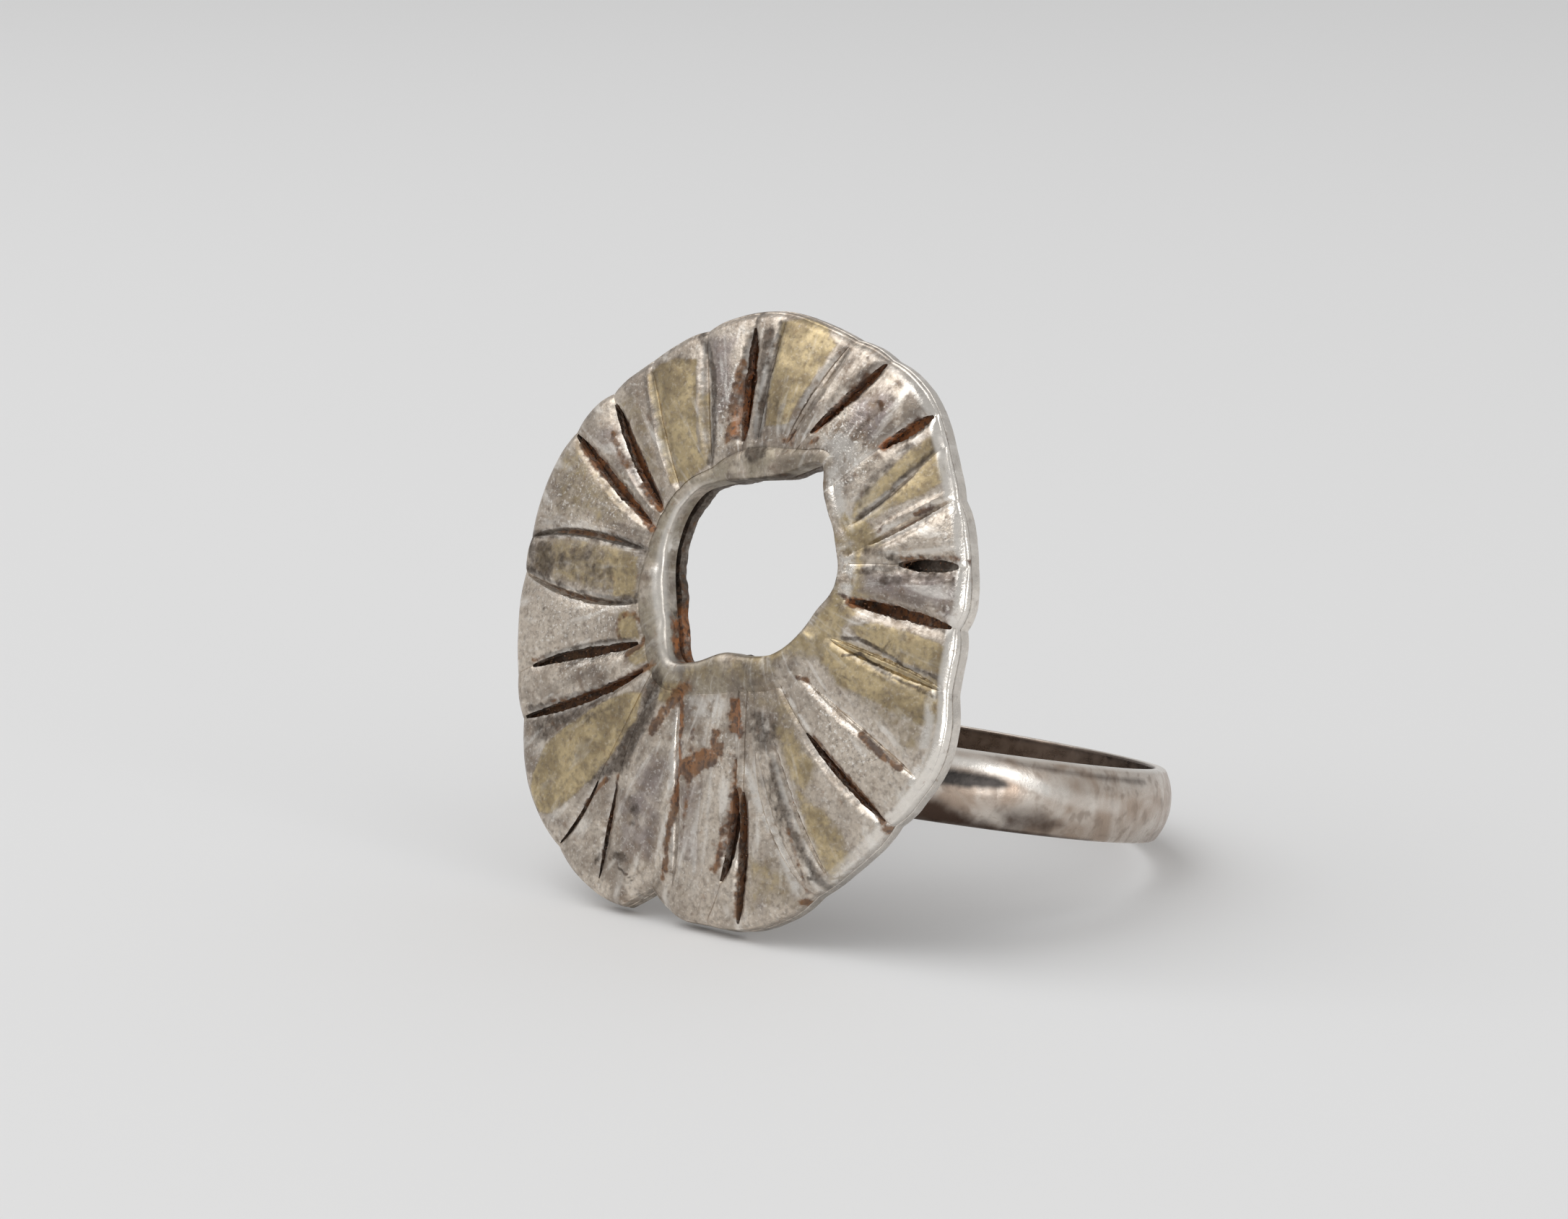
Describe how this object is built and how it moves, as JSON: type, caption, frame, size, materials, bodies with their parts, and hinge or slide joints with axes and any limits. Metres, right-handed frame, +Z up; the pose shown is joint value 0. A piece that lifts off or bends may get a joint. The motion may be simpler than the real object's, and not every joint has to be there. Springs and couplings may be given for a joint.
{
  "type": "finger ring",
  "caption": "Silver finger ring with a flower-shaped double-sheet head, chased and slit petals, a turned-in central hole and a plain half-round shank.",
  "frame": {"origin": "centre of the finger hole, midway along the shank's width", "axes": "+Z up as the ring rests by itself on the lowest lobes of its head and the back of its shank, -Y towards the viewer of the flower face, +X to the right of that face. The finger hole's axis lies in the YZ plane, 14.39 degrees from +Z towards +Y."},
  "size_m": [0.0195, 0.0208, 0.0202],
  "materials": {
    "silver": "satin"
  },
  "bodies": {
    "root": {"ring": "silver"}
  },
  "joints": []
}
